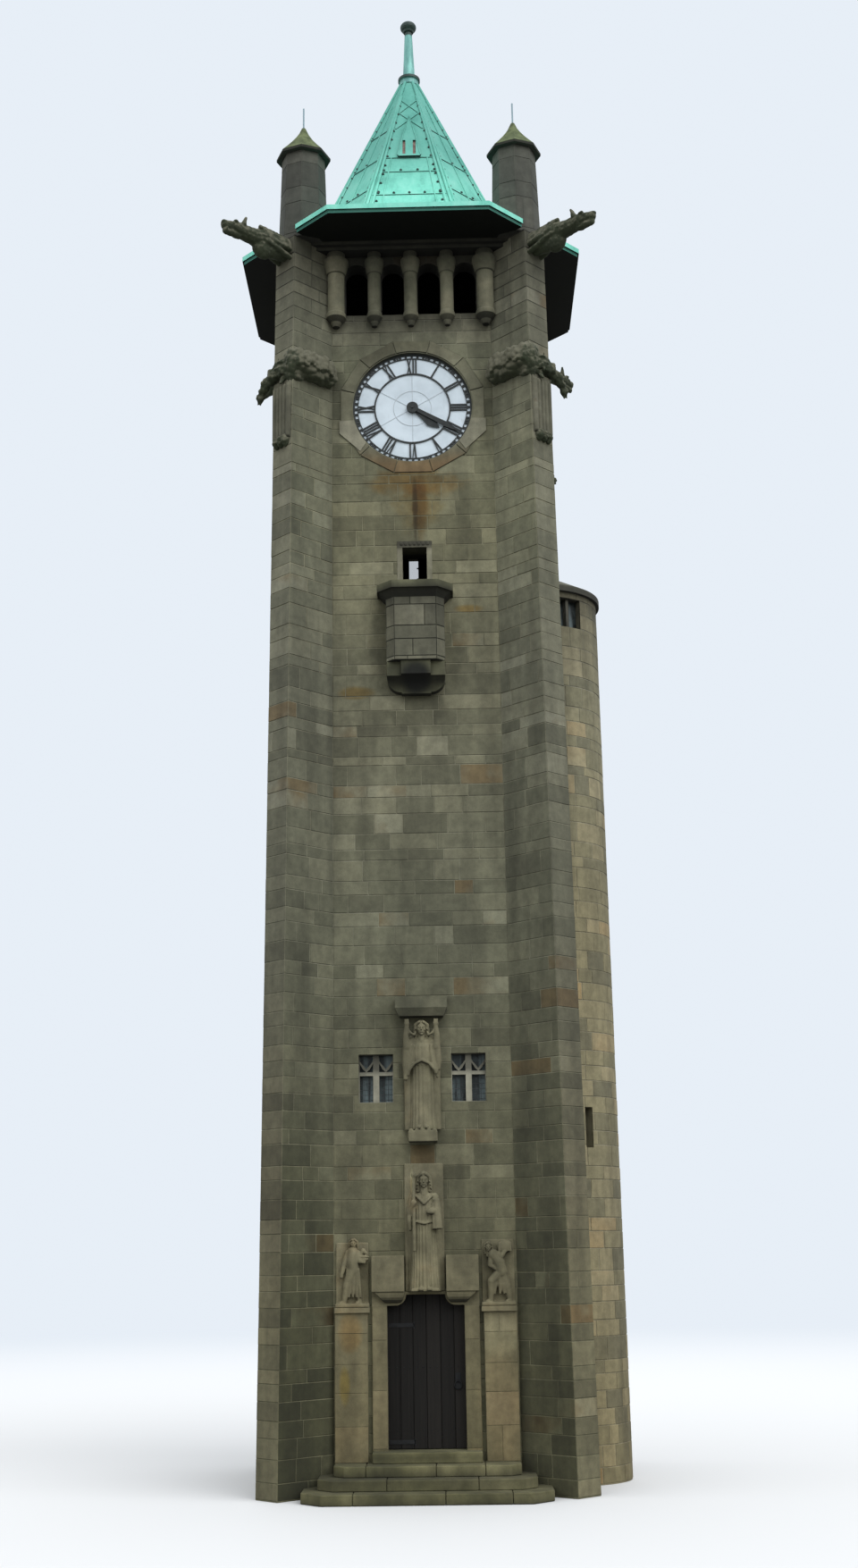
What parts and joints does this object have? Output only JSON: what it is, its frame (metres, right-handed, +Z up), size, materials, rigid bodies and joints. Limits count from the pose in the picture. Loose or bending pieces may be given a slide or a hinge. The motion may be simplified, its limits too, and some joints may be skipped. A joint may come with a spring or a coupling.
{
  "type": "clock tower",
  "caption": "Square stone clock tower with diagonal corner buttresses, a round stair turret, dials on each side, an open belfry arcade and a green copper spire.",
  "frame": {"origin": "the tower's centre line at ground level, on the underside of the ground floor", "axes": "+Z up along the tower, -Y towards the entrance, +X towards the stair turret"},
  "size_m": [6.105, 6.09, 25.3],
  "materials": {
    "sandstone": "matt",
    "buff_stone": "matt",
    "dressed_stone": "matt",
    "carved_stone": "matt",
    "floor_boards": "matt",
    "green_copper": "matt",
    "bronze": "satin",
    "iron": "satin",
    "opal_glass": "gloss",
    "window_glass": "gloss",
    "oak": "satin"
  },
  "bodies": {
    "tower": {"ground_floor": "dressed_stone", "first_floor": "floor_boards", "upper_floor": "floor_boards", "belfry_floor": "floor_boards", "front_wall_left": "sandstone", "front_wall_right": "sandstone", "front_wall_over_door": "sandstone", "front_wall_upper": "sandstone", "back_wall": "sandstone", "left_wall": "sandstone", "right_wall": "sandstone", "buttress_front_right": "sandstone", "buttress_back_right": "sandstone", "buttress_back_left": "sandstone", "buttress_front_left": "sandstone", "belfry_wall_front": "sandstone", "belfry_wall_right": "sandstone", "belfry_wall_back": "sandstone", "belfry_wall_left": "sandstone", "arcade_columns": "sandstone", "cornice": "sandstone", "roof_eaves": "green_copper", "spire": "green_copper", "spire_gables": "green_copper", "finial": "bronze", "pinnacles": "sandstone", "pinnacle_caps": "carved_stone", "gargoyles": "carved_stone", "corner_beasts": "carved_stone", "dial_glasses": "opal_glass", "dial_frames": "iron", "door_frame": "dressed_stone", "door_head_blocks": "dressed_stone", "threshold": "dressed_stone", "third_step": "dressed_stone", "second_step": "dressed_stone", "bottom_step": "dressed_stone", "upper_statue": "dressed_stone", "statue_canopy": "carved_stone", "lower_statue": "dressed_stone", "relief_figures": "dressed_stone", "pilasters": "dressed_stone", "balcony": "sandstone", "balcony_corbel": "carved_stone", "turret_wall_front": "buff_stone", "turret_wall_side": "buff_stone", "turret_wall_back": "buff_stone", "turret_roof": "carved_stone", "window_tracery": "dressed_stone", "window_glass": "window_glass"},
    "door": {"entrance_door": "oak"},
    "minute_hand": {"minute_hand": "iron"},
    "hour_hand": {"hour_hand": "iron"}
  },
  "joints": [
    {"name": "door_hinge", "type": "hinge", "parent": "tower", "child": "door", "pos_m": [-0.6, -1.445, 0.635], "axis": [0, 0, 1], "range_deg": [0, 90]},
    {"name": "minute_hand_spin", "type": "hinge", "parent": "tower", "child": "minute_hand", "pos_m": [0, -1.6, 16.67], "axis": [0, 1, 0], "continuous": true},
    {"name": "hour_hand_spin", "type": "hinge", "parent": "tower", "child": "hour_hand", "pos_m": [0, -1.6, 16.67], "axis": [0, 1, 0], "continuous": true}
  ],
  "couplings": [
    {"joint": "hour_hand_spin", "follows": "minute_hand_spin", "ratio": 0.083333}
  ]
}
